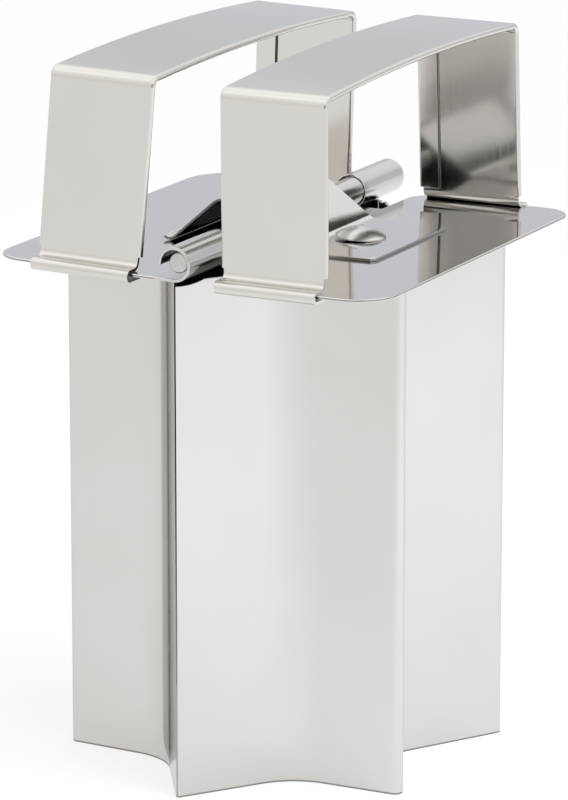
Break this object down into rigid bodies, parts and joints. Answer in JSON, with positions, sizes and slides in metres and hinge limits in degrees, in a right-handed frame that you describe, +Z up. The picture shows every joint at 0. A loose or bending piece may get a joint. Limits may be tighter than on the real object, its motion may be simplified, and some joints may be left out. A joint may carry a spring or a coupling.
{
  "type": "hinged star cookie cutter",
  "caption": "Hinged sheet-steel star cutter: a leaf spring keeps its two halves shut, and pinching the strap handles together opens the star to free the dough.",
  "frame": {"origin": "middle of the star on the plane of its cutting rim, straight below the hinge", "axes": "+X across the hinge towards the half that carries the spring, +Y along the hinge to the back, +Z up"},
  "size_m": [0.0517, 0.0592, 0.089],
  "materials": {
    "plate": "bright annealed stainless sheet",
    "handle": "bright satin stainless strip",
    "wall": "bright annealed stainless strip",
    "spring": "polished spring steel",
    "rivet": "polished steel",
    "pin": "cut steel wire"
  },
  "bodies": {
    "right_half": {"right_plate": "plate", "right_handle": "handle", "right_star_wall": "wall", "hinge_pin": "pin", "leaf_spring": "spring", "spring_rivet": "rivet"},
    "left_half": {"left_plate": "plate", "left_handle": "handle", "left_star_wall": "wall"}
  },
  "joints": [
    {"name": "star_hinge", "type": "hinge", "parent": "right_half", "child": "left_half", "pos_m": [0, 0, 0.06639], "axis": [0, 1, 0], "range_deg": [0, 20], "stiffness_Nm_per_rad": 0.8, "springref_deg": -14.32, "deforming": ["leaf_spring"]}
  ]
}
